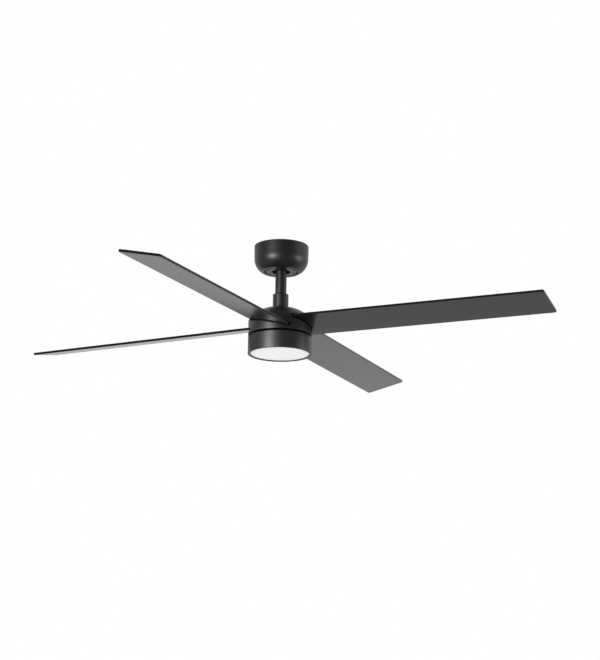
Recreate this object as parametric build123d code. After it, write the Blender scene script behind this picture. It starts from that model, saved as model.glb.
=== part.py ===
from build123d import *
import os
from math import cos, degrees, radians, sin, sqrt

# A four-blade ceiling fan with a light. Millimetres. The origin is the centre of the ceiling face, +Z is up,
# and everything hangs below z = 0 on the vertical axis x = y = 0.

# Canopy: a bowl shell against the ceiling, with a recessed flange that carries the cover ring
CANOPY_RIM_R = 64.6
CANOPY_WALL_R = 63.9
CANOPY_WALL_Z = -30.0
CANOPY_CORNER_R = 36.0
CANOPY_SHEET = 1.2
CANOPY_LIP_R = 41.8
RECESS_R = 38.6
FLANGE_HOLE_R = 22.0
FLANGE_BOTTOM_Z = -55.6
RING_HOLE_R = 21.2
RING_R = 37.0
RING_FACE_Z = -63.1
RING_PLATE = 1.6
RING_WALL = 1.4
RING_RIB_COUNT = 3
RING_RIB_W = 6.0
CANOPY_SCREW_X = 31.0

# Hanger bracket: a hat-shaped strip with the ball seat in its lower plate
STRAP = 2.5
EAR_END_X = 60.0
LEG_X = 40.0
BRACKET_BOTTOM_Z = FLANGE_BOTTOM_Z + CANOPY_SHEET
SEAT_WIDTH = 60.0
EAR_WIDTH = 28.0
CEILING_SLOT_SPACING = 98.0
CEILING_SLOT_LENGTH = 10.0
CEILING_SLOT_W = 5.5
BEND_R = 4.0
SEAT_HOLE_R = 18.0
SEAT_RIM_Z = -42.0
SEAT_MOUTH_W = 30.0
SHELF_Z = -15.0
SHELF_DEPTH = 6.0
SHELF_W = 14.0

# Hanger ball and downrod
BALL_R = 27.0
BALL_Z = -30.0
BALL_TOP_Z = -22.0
BALL_BOTTOM_Z = -52.8
BALL_GAP = 0.3
KEY_W = 5.2
KEY_TIP_Y = -19.9
KEYWAY_W = 6.4
KEYWAY_Y = -16.5
ROD_R = 13.35
ROD_BORE_R = 11.35
ROD_TOP_Z = -18.0
ROD_BOTTOM_Z = -142.0
PIN_R = 3.0
BALL_PIN_Z = -27.0
BALL_PIN_LENGTH = 44.0
PIN_CHAMFER = 0.5
FIT_GAP = 0.05

# Coupling between the rod and the motor shaft, under its cover
COVER_R = 18.5
COVER_WALL = 0.9
COVER_TOP_Z = -116.1
COVER_CONE_W = 4.6
COVER_CONE_H = 2.4
COVER_BOTTOM_Z = -152.4
COUPLING_R = 15.3
COUPLING_TOP_Z = -124.0
COUPLING_BOTTOM_Z = -149.2
CLEVIS_Z = -133.0
CLEVIS_HEAD_R = 4.0
CLEVIS_HEAD = 1.0
CLEVIS_END_X = -16.6
SPLIT_PIN_R = 0.55
SPLIT_PIN_X = -15.95
GRUB_R = 2.5
HEX_SOCKET_R = 1.25

# Rotor housing: a domed cup with one pitched slot for each blade
ROTOR_R = 75.0
ROTOR_SHEET = 1.5
DOME_TOP_Z = -153.2
DOME_FLAT_R = 20.0
DOME_ARC_R = 65.3
SHOULDER_R = 9.0
ROTOR_BOTTOM_Z = -217.9
EDGE_BEVEL = 0.9
NECK_R = 13.9

# Blades: flat boards with a pitch and a slight droop
BLADE_COUNT = 4
BLADE_AZIMUTH = -25.9
BLADE_TIP = 656.0
BLADE_ROOT = 50.0
BLADE_CHORD = 101.6
BLADE_THICKNESS = 5.8
BLADE_PITCH = 12.8
BLADE_DROOP = 0.6
BLADE_Z = -195.3
BLADE_CORNER_R = 4.5
BLADE_EDGE_R = 1.0
SLOT_END_GAP = 3.2
SLOT_FACE_GAP = 2.5
BLADE_SCREWS_AT = [(57.0, -27.0), (62.0, 0.0), (57.0, 27.0)]

# Motor: stator on the fixed shaft, magnets and end bells turning round it
SHAFT_R = 10.0
SHAFT_BORE_R = 6.0
SHAFT_COLLAR_R = 12.0
SHAFT_TOP_Z = -142.3
SHAFT_THREAD_R = 8.0
SHAFT_END_Z = -237.0
BEARING_R = 16.0
BEARING_SPLIT_R = 12.2
BEARING_GAP = 0.1
BEARING_W = 7.0
UPPER_BEARING_Z = -171.0
LOWER_BEARING_Z = -214.2
CIRCLIP_R = 12.5
CIRCLIP_GROOVE_R = 9.2
CIRCLIP_T = 1.2
STATOR_R = 36.4
STATOR_YOKE_R = 20.0
STATOR_TOP_Z = -176.0
STATOR_STACK = 20.0
TOOTH_COUNT = 12
TOOTH_W = 5.5
TOOTH_SHOE = 2.4
TOOTH_SHOE_SPAN = 22.0
COIL_IN_R = 21.0
COIL_OUT_R = 33.4
COIL_W = 10.2
COIL_OVERHANG = 5.0
COIL_CORNER_R = 3.0
MAGNET_IN_R = 37.0
MAGNET_COUNT = 16
MAGNET_SPAN = 20.0
MAGNET_TOP_Z = -174.0
MAGNET_HEIGHT = 24.0
RING_IN_R = 40.5
RING_OUT_R = 44.0
ROTOR_RING_TOP_Z = -168.0
ROTOR_RING_BOTTOM_Z = -202.0
BELL_HUB_R = 19.5
BELL_BAND = 2.0
COLLAR_GAP = 1.0
UPPER_DISC_Z = -162.0
BELL_RIM_IN_R = 38.0
LUG_AT_R = 49.0
LUG_R = 4.5
LUG_T = 4.0
UPPER_LUG_Z = -170.0
LOWER_LUG_Z = -206.0
MOTOR_SCREW_R = 1.75

# Blade carrier: a plate under the motor with four pitched seats
CARRIER_TOP_Z = -210.2
CARRIER_PLATE = 3.0
CARRIER_R = 73.2
CARRIER_HOLE_R = 22.0
SEAT_PAD_R = 71.5
SEAT_PAD_START = 50.5
SEAT_PAD_HALF = 49.0
CARRIER_SCREW_AT_R = 31.0
CARRIER_SCREW_BITE = 3.0
BLADE_SCREW_BITE = 4.0
SCREW_R = 2.0
SCREW_HEAD_R = 3.5
SCREW_HEAD = 2.2
SCREW_HEAD_BEVEL = 0.7

# Light: a fixed drum under the rotor, with a twist-off diffuser
LIGHT_R = 75.0
LIGHT_TOP_Z = -222.7
LIGHT_BOTTOM_Z = -263.0
LIGHT_SHEET = 1.7
RIM_HEIGHT = 3.6
RIM_IN_R = 69.0
WASHER_R = 30.0
WASHER_T = 2.0
NUT_ACROSS_FLATS = 26.0
NUT_HEIGHT = 8.0
DRIVER_SIZE = (70.0, 24.0, 15.6)
DRIVER_CORNER_R = 2.0
DRIVER_Y = 46.0
STANDOFF_AT_R = 62.0
STANDOFF_R = 3.5
STANDOFF_AZIMUTHS = (-90.0, 30.0, 150.0)
STANDOFF_HOLE = 10.0
TRAY_SCREW_BITE = 8.0
TRAY_R = 68.0
TRAY_T = 1.5
TRAY_TOP_Z = -246.0
TRAY_HOLE_R = 8.0
BOARD_R = 57.0
BOARD_T = 1.6
CHIP_SIZE = (3.6, 2.8, 0.8)
CHIP_RINGS = [(18.0, 8), (34.0, 14), (50.0, 20)]
DIFFUSER_R = 68.6
DIFFUSER_FACE_Z = -261.1
DIFFUSER_FACE_T = 2.0
SKIRT_R = 67.5
SKIRT_WALL = 2.0
SKIRT_TOP_Z = -251.5
DIFFUSER_BEVEL = 0.6
PEG_COUNT = 3
PEG_R = 1.5
PEG_TIP_R = 65.0
PEG_Z = -255.6
PEG_GAP = 0.3
TWIST = 22.0

# Working values: how far a cutter runs past a face, how far joined forms run into each other, a hair's width,
# a reach past everything, and the alignment of a form that stands on its place
CUT_PAST = 1.0
JOIN_IN = 1.0
SMALL = 0.01
FAR = 200.0
STANDING = (Align.CENTER, Align.CENTER, Align.MIN)


def tube(outer, inner, bottom, top):
    """An upright ring between two heights; an inner radius of 0 makes a disc."""
    body = Pos(0, 0, bottom) * Cylinder(outer, top - bottom, align=STANDING)
    if inner > 0:
        body -= Pos(0, 0, bottom) * Cylinder(inner, top - bottom, align=STANDING)
    return body


def turned(*edges):
    """Revolve a closed outline of edges in the XZ plane, x as radius, about the axis."""
    return revolve(make_face(Wire(list(edges))), Axis.Z)


def outline(*points):
    """Straight edges through (radius, height) points, left open."""
    corners = [(r, 0, z) for r, z in points]
    return [Line(a, b) for a, b in zip(corners, corners[1:])]


def closed(*points):
    """Revolve a closed outline of straight edges."""
    return turned(*outline(*points, points[0]))


def arc_about(centre, radius, start, end):
    """The arc in the XZ plane between two points on a circle about a (radius, height) centre."""
    middle = ((start[0] + end[0]) / 2 - centre[0], (start[1] + end[1]) / 2 - centre[1])
    stretch = radius / sqrt(middle[0] ** 2 + middle[1] ** 2)
    top = (centre[0] + middle[0] * stretch, 0, centre[1] + middle[1] * stretch)
    return ThreePointArc((start[0], 0, start[1]), top, (end[0], 0, end[1]))


def across_x(radius, start, end, height):
    """A round bar along X."""
    return Pos(start, 0, height) * Rot(0, 90, 0) * Cylinder(radius, end - start, align=STANDING)


def along_y(radius, start, end, height):
    """A round bar along Y."""
    return Pos(0, start, height) * Rot(-90, 0, 0) * Cylinder(radius, end - start, align=STANDING)


def sector(inner, outer, bottom, top, middle, span):
    """A slice of an upright ring about an azimuth, in degrees."""
    outer_arc = CenterArc((0, 0), outer, middle - span / 2, span)
    inner_arc = CenterArc((0, 0), inner, middle - span / 2, span)
    sides = [Line(outer_arc @ 0, inner_arc @ 0), Line(outer_arc @ 1, inner_arc @ 1)]
    face = make_face(Wire([outer_arc, inner_arc, *sides]))
    return Pos(0, 0, bottom) * extrude(face, top - bottom)


def screw(x, y, head_z, tip_z):
    """A pan-head screw put in from below: the head under head_z, the shank up to tip_z."""
    head = tube(SCREW_HEAD_R, 0, head_z - SCREW_HEAD, head_z)
    head = chamfer(head.edges().sort_by(Axis.Z)[0], SCREW_HEAD_BEVEL)
    return Pos(x, y, 0) * (head + tube(SCREW_R, 0, head_z, tip_z))


def blade_plane(azimuth):
    """The blade's own axes: X outward and drooping, Y along the chord to the low edge, Z out of its top."""
    turn = radians(azimuth)
    droop = radians(BLADE_DROOP)
    pitch = radians(BLADE_PITCH)
    out = Vector(cos(turn), sin(turn), 0)
    aside = Vector(-sin(turn), cos(turn), 0)
    span = out * cos(droop) - Vector(0, 0, sin(droop))
    upright = Vector(0, 0, cos(droop)) + out * sin(droop)
    face = upright * cos(pitch) + aside * sin(pitch)
    return Plane(origin=(0, 0, BLADE_Z), x_dir=span, z_dir=face)


def blade_azimuth(index):
    return BLADE_AZIMUTH + index * 360.0 / BLADE_COUNT


def around(count, radius, first=0.0):
    """Points evenly spaced on a circle."""
    steps = [radians(first + k * 360.0 / count) for k in range(count)]
    return [(radius * cos(a), radius * sin(a)) for a in steps]


# Ceiling side


def hanger_bracket():
    half = STRAP / 2
    low = BRACKET_BOTTOM_Z + half
    leg = LEG_X - half
    path = FilletPolyline((EAR_END_X, 0, -half), (leg, 0, -half), (leg, 0, low),
                          (-leg, 0, low), (-leg, 0, -half), (-EAR_END_X, 0, -half), radius=BEND_R)
    strip_face = offset(Wire(path.edges()), amount=half, kind=Kind.INTERSECTION, side=Side.BOTH)
    strip = extrude(make_face(strip_face), SEAT_WIDTH / 2, dir=(0, 1, 0), both=True)
    under = BRACKET_BOTTOM_Z - SMALL
    narrow = EAR_WIDTH / 2
    wide = SEAT_WIDTH / 2
    taper = Polyline((0, -narrow, SMALL), (0, narrow, SMALL), (0, wide, SEAT_RIM_Z),
                     (0, wide, under), (0, -wide, under), (0, -wide, SEAT_RIM_Z), close=True)
    strip &= extrude(make_face(taper), EAR_END_X, dir=(1, 0, 0), both=True)

    inner = BALL_R + BALL_GAP
    outer = inner + STRAP
    centre = (0, BALL_Z)
    plate_top = BRACKET_BOTTOM_Z + STRAP
    inner_low = (SEAT_HOLE_R, BALL_Z - sqrt(inner ** 2 - SEAT_HOLE_R ** 2))
    inner_high = (sqrt(inner ** 2 - (SEAT_RIM_Z - BALL_Z) ** 2), SEAT_RIM_Z)
    outer_high = (sqrt(outer ** 2 - (SEAT_RIM_Z - BALL_Z) ** 2), SEAT_RIM_Z)
    outer_low = (sqrt(outer ** 2 - (plate_top - BALL_Z) ** 2), plate_top)
    seat = turned(arc_about(centre, inner, inner_low, inner_high), *outline(inner_high, outer_high),
                  arc_about(centre, outer, outer_high, outer_low),
                  *outline(outer_low, (SEAT_HOLE_R, plate_top), inner_low))
    cut_bottom = BRACKET_BOTTOM_Z - CUT_PAST
    cut_top = plate_top + CUT_PAST
    bracket = strip + seat - tube(SEAT_HOLE_R, 0, cut_bottom, cut_top)
    mouth_depth = SEAT_RIM_Z + CUT_PAST - cut_bottom
    bracket -= Pos(0, 0, cut_bottom) * Box(
        SEAT_MOUTH_W, SEAT_WIDTH, mouth_depth, align=(Align.CENTER, Align.MIN, Align.MIN))

    key_middle = (SEAT_RIM_Z + inner_low[1]) / 2
    bracket += Pos(0, KEY_TIP_Y, key_middle) * Box(
        KEY_W, outer_high[0] + KEY_TIP_Y - STRAP, STRAP, align=(Align.CENTER, Align.MAX, Align.CENTER))
    shelf = Box(SHELF_DEPTH, SHELF_W, STRAP / 2, align=(Align.MIN, Align.CENTER, Align.MAX))
    for side in (1, -1):
        bracket += Pos(min(side * leg, side * (leg - SHELF_DEPTH)), 0, SHELF_Z) * shelf
        slot = extrude(SlotOverall(CEILING_SLOT_LENGTH, CEILING_SLOT_W), STRAP * 2, both=True)
        bracket -= Pos(side * CEILING_SLOT_SPACING / 2, 0, 0) * slot
        bracket -= Pos(side * CANOPY_SCREW_X, 0, 0) * tube(SCREW_R + FIT_GAP, 0, cut_bottom, cut_top)
    return bracket


def canopy():
    centre = (CANOPY_WALL_R - CANOPY_CORNER_R, CANOPY_WALL_Z)
    inside = CANOPY_CORNER_R - CANOPY_SHEET
    recess_back = RECESS_R + CANOPY_SHEET
    wall = (CANOPY_WALL_R, CANOPY_WALL_Z)
    lip_z = centre[1] - sqrt(CANOPY_CORNER_R ** 2 - (CANOPY_LIP_R - centre[0]) ** 2)
    lip = (CANOPY_LIP_R, lip_z)
    pocket_z = lip_z + CANOPY_SHEET
    pocket = (centre[0] + sqrt(inside ** 2 - (pocket_z - centre[1]) ** 2), pocket_z)
    inner_wall = (CANOPY_WALL_R - CANOPY_SHEET, CANOPY_WALL_Z)
    flange_top = FLANGE_BOTTOM_Z + CANOPY_SHEET
    shell = turned(
        *outline((CANOPY_RIM_R, 0), wall), arc_about(centre, CANOPY_CORNER_R, wall, lip),
        *outline(lip, (RECESS_R, lip_z), (RECESS_R, FLANGE_BOTTOM_Z), (FLANGE_HOLE_R, FLANGE_BOTTOM_Z),
                 (FLANGE_HOLE_R, flange_top), (recess_back, flange_top), (recess_back, pocket_z), pocket),
        arc_about(centre, inside, pocket, inner_wall),
        *outline(inner_wall, (CANOPY_RIM_R - CANOPY_SHEET, 0), (CANOPY_RIM_R, 0)))
    for side in (1, -1):
        hole = tube(SCREW_R + FIT_GAP, 0, FLANGE_BOTTOM_Z - CUT_PAST, flange_top + CUT_PAST)
        shell -= Pos(side * CANOPY_SCREW_X, 0, 0) * hole
    return shell


def canopy_ring():
    top = RING_FACE_Z + RING_PLATE
    rim_in = RING_R - RING_WALL
    ring = closed((RING_HOLE_R, RING_FACE_Z), (RING_R - EDGE_BEVEL, RING_FACE_Z),
                  (RING_R, RING_FACE_Z + EDGE_BEVEL), (RING_R, FLANGE_BOTTOM_Z), (rim_in, FLANGE_BOTTOM_Z),
                  (rim_in, top), (RING_HOLE_R, top))
    rib_span = degrees(RING_RIB_W / RING_R)
    for k in range(RING_RIB_COUNT):
        ring += sector(rim_in, RECESS_R - FIT_GAP, top + RING_PLATE, FLANGE_BOTTOM_Z,
                       k * 360.0 / RING_RIB_COUNT, rib_span)
    return ring


def canopy_screws():
    tip = BRACKET_BOTTOM_Z + 2 * STRAP
    return [screw(side * CANOPY_SCREW_X, 0, FLANGE_BOTTOM_Z, tip) for side in (1, -1)]


def receiver_box():
    play = 1.0
    length = 2 * (LEG_X - STRAP - play)
    width = 34.0
    height = 11.5
    corner = 3.0
    wall_lip = 1.0
    seam = 0.6
    seam_z = 6.9
    box = Box(length, width, height, align=STANDING)
    box = fillet(box.edges().filter_by(Axis.Z), corner)
    box = chamfer(box.faces().sort_by(Axis.Z)[-1].edges(), wall_lip)
    groove = Pos(0, 0, seam_z) * Box(length, width, seam)
    kept = Pos(0, 0, seam_z) * Box(length - 2 * seam, width - 2 * seam, 2 * seam)
    return Pos(0, 0, SHELF_Z) * (box - (groove - kept))


def terminal_block():
    poles = 3
    pitch = 8.0
    depth = 10.0
    height = 14.0
    end_wall = 1.0
    floor = 2.0
    bevel = 1.5
    funnel_r = 2.0
    screw_r = 1.6
    top = -20.0
    length = poles * pitch + 2 * end_wall
    block = Box(depth, length, height, align=(Align.MAX, Align.CENTER, Align.MAX))
    block = chamfer(block.edges().filter_by(Axis.Y).group_by(Axis.X)[0], bevel)
    for k in range(poles):
        y = (k - (poles - 1) / 2) * pitch
        way = Pos(-depth / 2, y, 0) * Cylinder(funnel_r, 2 * (height - floor))
        driver_hole = Pos(-depth, y, -height / 2) * Rot(0, 90, 0) * Cylinder(screw_r, depth / 2)
        block -= way
        block -= driver_hole
    return Pos(-LEG_X, 0, top) * block


# Hanging side


def hanger_ball():
    ball = Pos(0, 0, BALL_Z) * Sphere(BALL_R)
    ball &= tube(BALL_R + CUT_PAST, ROD_R + FIT_GAP, BALL_BOTTOM_Z, BALL_TOP_Z)
    ball -= Pos(0, KEYWAY_Y, BALL_Z) * Box(
        KEYWAY_W, BALL_R, 2 * BALL_R, align=(Align.CENTER, Align.MAX, Align.CENTER))
    ball -= across_x(PIN_R + FIT_GAP, -BALL_R, BALL_R, BALL_PIN_Z)
    ball -= along_y(GRUB_R + FIT_GAP, 0, BALL_R, BALL_Z - 2 * GRUB_R)
    return ball


def ball_cross_pin():
    pin = across_x(PIN_R, -BALL_PIN_LENGTH / 2, BALL_PIN_LENGTH / 2, BALL_PIN_Z)
    return chamfer(pin.edges().filter_by(GeomType.CIRCLE), PIN_CHAMFER)


def hex_socket(height):
    """A cutter for a grub screw's hexagon socket."""
    return extrude(RegularPolygon(HEX_SOCKET_R, 6), height)


def ball_set_screw():
    length = 8.0
    grub = Cylinder(GRUB_R, length, align=STANDING)
    grub -= Pos(0, 0, length / 2) * hex_socket(length)
    return Pos(0, ROD_R, BALL_Z - 2 * GRUB_R) * Rot(-90, 0, 0) * grub


def downrod():
    rod = tube(ROD_R, ROD_BORE_R, ROD_BOTTOM_Z, ROD_TOP_Z)
    for height in (BALL_PIN_Z, CLEVIS_Z):
        rod -= across_x(PIN_R + FIT_GAP, -ROD_R - CUT_PAST, ROD_R + CUT_PAST, height)
    return rod


def coupling_cover():
    side_top = COVER_TOP_Z - COVER_CONE_H
    top_r = COVER_R - COVER_CONE_W + COVER_WALL / 2
    hole_r = ROD_R + 4 * FIT_GAP
    inner = COVER_R - COVER_WALL
    soft = EDGE_BEVEL / 2
    return closed((hole_r, COVER_TOP_Z), (top_r, COVER_TOP_Z), (COVER_R - soft, side_top + soft),
                  (COVER_R, side_top - soft), (COVER_R, COVER_BOTTOM_Z), (inner, COVER_BOTTOM_Z),
                  (inner, side_top - COVER_WALL), (hole_r, COVER_TOP_Z - COVER_WALL * 2))


def motor_coupling():
    body = tube(COUPLING_R, SHAFT_R, COUPLING_BOTTOM_Z, COUPLING_TOP_Z)
    body -= tube(ROD_R + FIT_GAP, 0, ROD_BOTTOM_Z, COUPLING_TOP_Z + CUT_PAST)
    body -= across_x(PIN_R + FIT_GAP, -ROD_R * 2, ROD_R * 2, CLEVIS_Z)
    return body - along_y(GRUB_R + FIT_GAP, -ROD_R * 2, ROD_R * 2, coupling_grub_z())


def coupling_grub_z():
    return (ROD_BOTTOM_Z + COUPLING_BOTTOM_Z) / 2


def clevis_pin():
    pin = across_x(PIN_R, CLEVIS_END_X, COUPLING_R, CLEVIS_Z)
    pin = chamfer(pin.edges().filter_by(GeomType.CIRCLE).sort_by(Axis.X)[0], PIN_CHAMFER)
    head = across_x(CLEVIS_HEAD_R, COUPLING_R, COUPLING_R + CLEVIS_HEAD, CLEVIS_Z)
    eye = Pos(SPLIT_PIN_X, 0, CLEVIS_Z) * Cylinder(SPLIT_PIN_R + FIT_GAP, 4 * PIN_R)
    return pin + head - eye


def split_pin():
    stem = 10.0
    eye_r = 1.5
    shank = Pos(SPLIT_PIN_X, 0, CLEVIS_Z) * Cylinder(SPLIT_PIN_R, stem)
    eye = Pos(SPLIT_PIN_X, 0, CLEVIS_Z + stem / 2 + eye_r) * Rot(0, 90, 0) * Torus(eye_r, SPLIT_PIN_R)
    return shank + eye


def coupling_set_screws():
    sunk = 0.4
    length = COUPLING_R - SHAFT_R - sunk
    grub = Cylinder(GRUB_R, length, align=STANDING)
    grub -= Pos(0, 0, length / 2) * hex_socket(length)
    return [Pos(0, side * SHAFT_R, coupling_grub_z()) * Rot(-90 * side, 0, 0) * grub for side in (1, -1)]


def motor_shaft():
    collar_bottom = LOWER_BEARING_Z + BEARING_W
    shaft = closed((SHAFT_BORE_R, SHAFT_TOP_Z), (SHAFT_R, SHAFT_TOP_Z), (SHAFT_R, UPPER_BEARING_Z),
                   (SHAFT_COLLAR_R, UPPER_BEARING_Z), (SHAFT_COLLAR_R, collar_bottom),
                   (SHAFT_R, collar_bottom), (SHAFT_R, LIGHT_TOP_Z), (SHAFT_THREAD_R, LIGHT_TOP_Z),
                   (SHAFT_THREAD_R, SHAFT_END_Z), (SHAFT_BORE_R, SHAFT_END_Z))
    return shaft - tube(SHAFT_R + CUT_PAST, CIRCLIP_GROOVE_R, LOWER_BEARING_Z - CIRCLIP_T, LOWER_BEARING_Z)


def shaft_circlip():
    mouth = 7.0
    clip = tube(CIRCLIP_R, CIRCLIP_GROOVE_R, LOWER_BEARING_Z - CIRCLIP_T, LOWER_BEARING_Z)
    return clip - Pos(0, 0, LOWER_BEARING_Z) * Box(
        mouth, 2 * CIRCLIP_R, 4 * CIRCLIP_T, align=(Align.CENTER, Align.MIN, Align.CENTER))


def stator_core():
    shape = Circle(STATOR_YOKE_R)
    tooth_in = STATOR_YOKE_R - JOIN_IN
    tooth_out = STATOR_R - TOOTH_SHOE / 2
    tooth = Pos(tooth_in, 0) * Rectangle(tooth_out - tooth_in, TOOTH_W, align=(Align.MIN, Align.CENTER))
    shoe_in = STATOR_R - TOOTH_SHOE
    for k in range(TOOTH_COUNT):
        turn = k * 360.0 / TOOTH_COUNT
        outer_arc = CenterArc((0, 0), STATOR_R, turn - TOOTH_SHOE_SPAN / 2, TOOTH_SHOE_SPAN)
        inner_arc = CenterArc((0, 0), shoe_in, turn - TOOTH_SHOE_SPAN / 2, TOOTH_SHOE_SPAN)
        ends = [Line(outer_arc @ 0, inner_arc @ 0), Line(outer_arc @ 1, inner_arc @ 1)]
        shape += Rot(0, 0, turn) * tooth
        shape += make_face(Wire([outer_arc, inner_arc, *ends]))
    shape -= Circle(SHAFT_COLLAR_R)
    return Pos(0, 0, STATOR_TOP_Z - STATOR_STACK) * extrude(shape, STATOR_STACK)


def stator_windings():
    middle_z = STATOR_TOP_Z - STATOR_STACK / 2
    depth = COIL_OUT_R - COIL_IN_R
    height = STATOR_STACK + 2 * COIL_OVERHANG
    coil = Box(depth, COIL_W, height, align=(Align.MIN, Align.CENTER, Align.CENTER))
    coil = fillet(coil.edges().filter_by(Axis.X), COIL_CORNER_R)
    coil -= Box(3 * depth, TOOTH_W + 2 * FIT_GAP, STATOR_STACK + 2 * FIT_GAP)
    placed = Pos(COIL_IN_R, 0, 0) * coil
    return [Pos(0, 0, middle_z) * Rot(0, 0, k * 360.0 / TOOTH_COUNT) * placed for k in range(TOOTH_COUNT)]


def bearing_inner(bottom):
    return tube(BEARING_SPLIT_R, SHAFT_R, bottom, bottom + BEARING_W)


def bearing_outer(bottom):
    return tube(BEARING_R, BEARING_SPLIT_R + BEARING_GAP, bottom, bottom + BEARING_W)


# Turning side


def rotor_profile(inset):
    """The dome and shoulder as edges from the top hole to the wall's top, set in by a thickness."""
    centre = (DOME_FLAT_R, DOME_TOP_Z - DOME_ARC_R)
    radius = DOME_ARC_R - inset
    wall_r = ROTOR_R - inset
    top_z = DOME_TOP_Z - inset
    shoulder = SHOULDER_R - inset
    # The shoulder's circle touches the dome's arc from inside and the wall.
    shoulder_x = wall_r - shoulder
    shoulder_z = centre[1] + sqrt((radius - shoulder) ** 2 - (shoulder_x - centre[0]) ** 2)
    reach = radius / (radius - shoulder)
    touch = (centre[0] + (shoulder_x - centre[0]) * reach, centre[1] + (shoulder_z - centre[1]) * reach)
    wall_top = (wall_r, shoulder_z)
    flat_end = (DOME_FLAT_R, top_z)
    edges = outline((NECK_R + FIT_GAP, top_z), flat_end)
    edges.append(arc_about(centre, radius, flat_end, touch))
    edges.append(arc_about((shoulder_x, shoulder_z), shoulder, touch, wall_top))
    return edges, wall_top


def rotor_housing():
    outer, outer_wall = rotor_profile(0)
    inner, inner_wall = rotor_profile(ROTOR_SHEET)
    hole = NECK_R + FIT_GAP
    bottom = outline(outer_wall, (ROTOR_R, ROTOR_BOTTOM_Z + EDGE_BEVEL),
                     (ROTOR_R - EDGE_BEVEL, ROTOR_BOTTOM_Z),
                     (ROTOR_R - ROTOR_SHEET, ROTOR_BOTTOM_Z), inner_wall)
    mouth = outline((hole, DOME_TOP_Z - ROTOR_SHEET), (hole, DOME_TOP_Z))
    shell = turned(*outer, *bottom, *inner, *mouth)
    slot_length = BLADE_CHORD + 2 * SLOT_END_GAP
    slot_height = BLADE_THICKNESS + 2 * SLOT_FACE_GAP
    for index in range(BLADE_COUNT):
        axes = blade_plane(blade_azimuth(index))
        root = axes.from_local_coords((BLADE_ROOT, 0, 0))
        end = Plane(origin=root, x_dir=axes.y_dir, z_dir=axes.x_dir)
        shell -= extrude(end * SlotOverall(slot_length, slot_height), ROTOR_R)
    return shell


def housing_nut():
    height = 2.5
    nut_r = 16.2
    key_w = 3.0
    nut = tube(nut_r, NECK_R, DOME_TOP_Z, DOME_TOP_Z + height)
    for turn in (0, 90):
        nut -= Pos(0, 0, DOME_TOP_Z + height) * Rot(0, 0, turn) * Box(3 * nut_r, key_w, height)
    return nut


def lug_ring(bottom, rim_r):
    """Four screw lugs on an end bell, on the diagonals between the blades, with their screw holes."""
    lugs = None
    for k in range(BLADE_COUNT):
        turn = blade_azimuth(k) + 180.0 / BLADE_COUNT
        arm_in = rim_r - JOIN_IN
        arm = Pos(arm_in, 0, bottom) * Box(
            LUG_AT_R - arm_in, 2 * LUG_R, LUG_T, align=(Align.MIN, Align.CENTER, Align.MIN))
        eye = Pos(LUG_AT_R, 0, 0) * tube(LUG_R, 0, bottom, bottom + LUG_T)
        hole = Pos(LUG_AT_R, 0, 0) * tube(MOTOR_SCREW_R, 0, bottom - CUT_PAST, bottom + LUG_T + CUT_PAST)
        lug = Rot(0, 0, turn) * (arm + eye - hole)
        lugs = lug if lugs is None else lugs + lug
    return lugs


def motor_upper_bell():
    disc = 3.0
    neck_gap = 1.5
    neck_rise = 3.0
    neck_in = SHAFT_R + neck_gap
    neck_top = DOME_TOP_Z + neck_rise
    boss_r = DOME_FLAT_R
    hub_in = SHAFT_COLLAR_R + COLLAR_GAP
    dome_inside = DOME_TOP_Z - ROTOR_SHEET
    disc_bottom = UPPER_DISC_Z - disc
    seat_top = UPPER_BEARING_Z + BEARING_W
    bell = closed((neck_in, neck_top), (NECK_R, neck_top), (NECK_R, dome_inside), (boss_r, dome_inside),
                  (boss_r, UPPER_DISC_Z), (RING_OUT_R, UPPER_DISC_Z), (RING_OUT_R, ROTOR_RING_TOP_Z),
                  (BELL_RIM_IN_R, ROTOR_RING_TOP_Z), (BELL_RIM_IN_R, disc_bottom),
                  (BELL_HUB_R, disc_bottom), (BELL_HUB_R, UPPER_BEARING_Z),
                  (BEARING_R, UPPER_BEARING_Z), (BEARING_R, seat_top), (hub_in, seat_top),
                  (hub_in, dome_inside), (neck_in, dome_inside))
    band_r = RING_OUT_R + BELL_BAND
    band_in = RING_OUT_R + FIT_GAP
    bell += tube(band_r, band_in, UPPER_LUG_Z, ROTOR_RING_TOP_Z + SMALL)
    bell += tube(band_r, RING_OUT_R - JOIN_IN, ROTOR_RING_TOP_Z, ROTOR_RING_TOP_Z + BELL_BAND)
    return bell + lug_ring(UPPER_LUG_Z, band_in + JOIN_IN)


def motor_lower_bell():
    disc = 4.0
    seat_top = LOWER_BEARING_Z + BEARING_W
    shoulder_r = SHAFT_COLLAR_R + COLLAR_GAP
    bell = closed((shoulder_r, CARRIER_TOP_Z + disc), (BELL_RIM_IN_R, CARRIER_TOP_Z + disc),
                  (BELL_RIM_IN_R, ROTOR_RING_BOTTOM_Z), (RING_OUT_R, ROTOR_RING_BOTTOM_Z),
                  (RING_OUT_R, CARRIER_TOP_Z), (BELL_HUB_R, CARRIER_TOP_Z), (BELL_HUB_R, LOWER_BEARING_Z),
                  (BEARING_R, LOWER_BEARING_Z), (BEARING_R, seat_top), (shoulder_r, seat_top))
    bell += lug_ring(LOWER_LUG_Z, RING_OUT_R)
    for x, y in around(BLADE_COUNT, CARRIER_SCREW_AT_R, BLADE_AZIMUTH):
        bell -= Pos(x, y, 0) * tube(SCREW_R + FIT_GAP, 0, CARRIER_TOP_Z - CUT_PAST, CARRIER_TOP_Z + FAR)
    return bell


def rotor_ring():
    return tube(RING_OUT_R, RING_IN_R, ROTOR_RING_BOTTOM_Z, ROTOR_RING_TOP_Z)


def rotor_magnets():
    bottom = MAGNET_TOP_Z - MAGNET_HEIGHT
    return [sector(MAGNET_IN_R, RING_IN_R, bottom, MAGNET_TOP_Z, k * 360.0 / MAGNET_COUNT, MAGNET_SPAN)
            for k in range(MAGNET_COUNT)]


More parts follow.
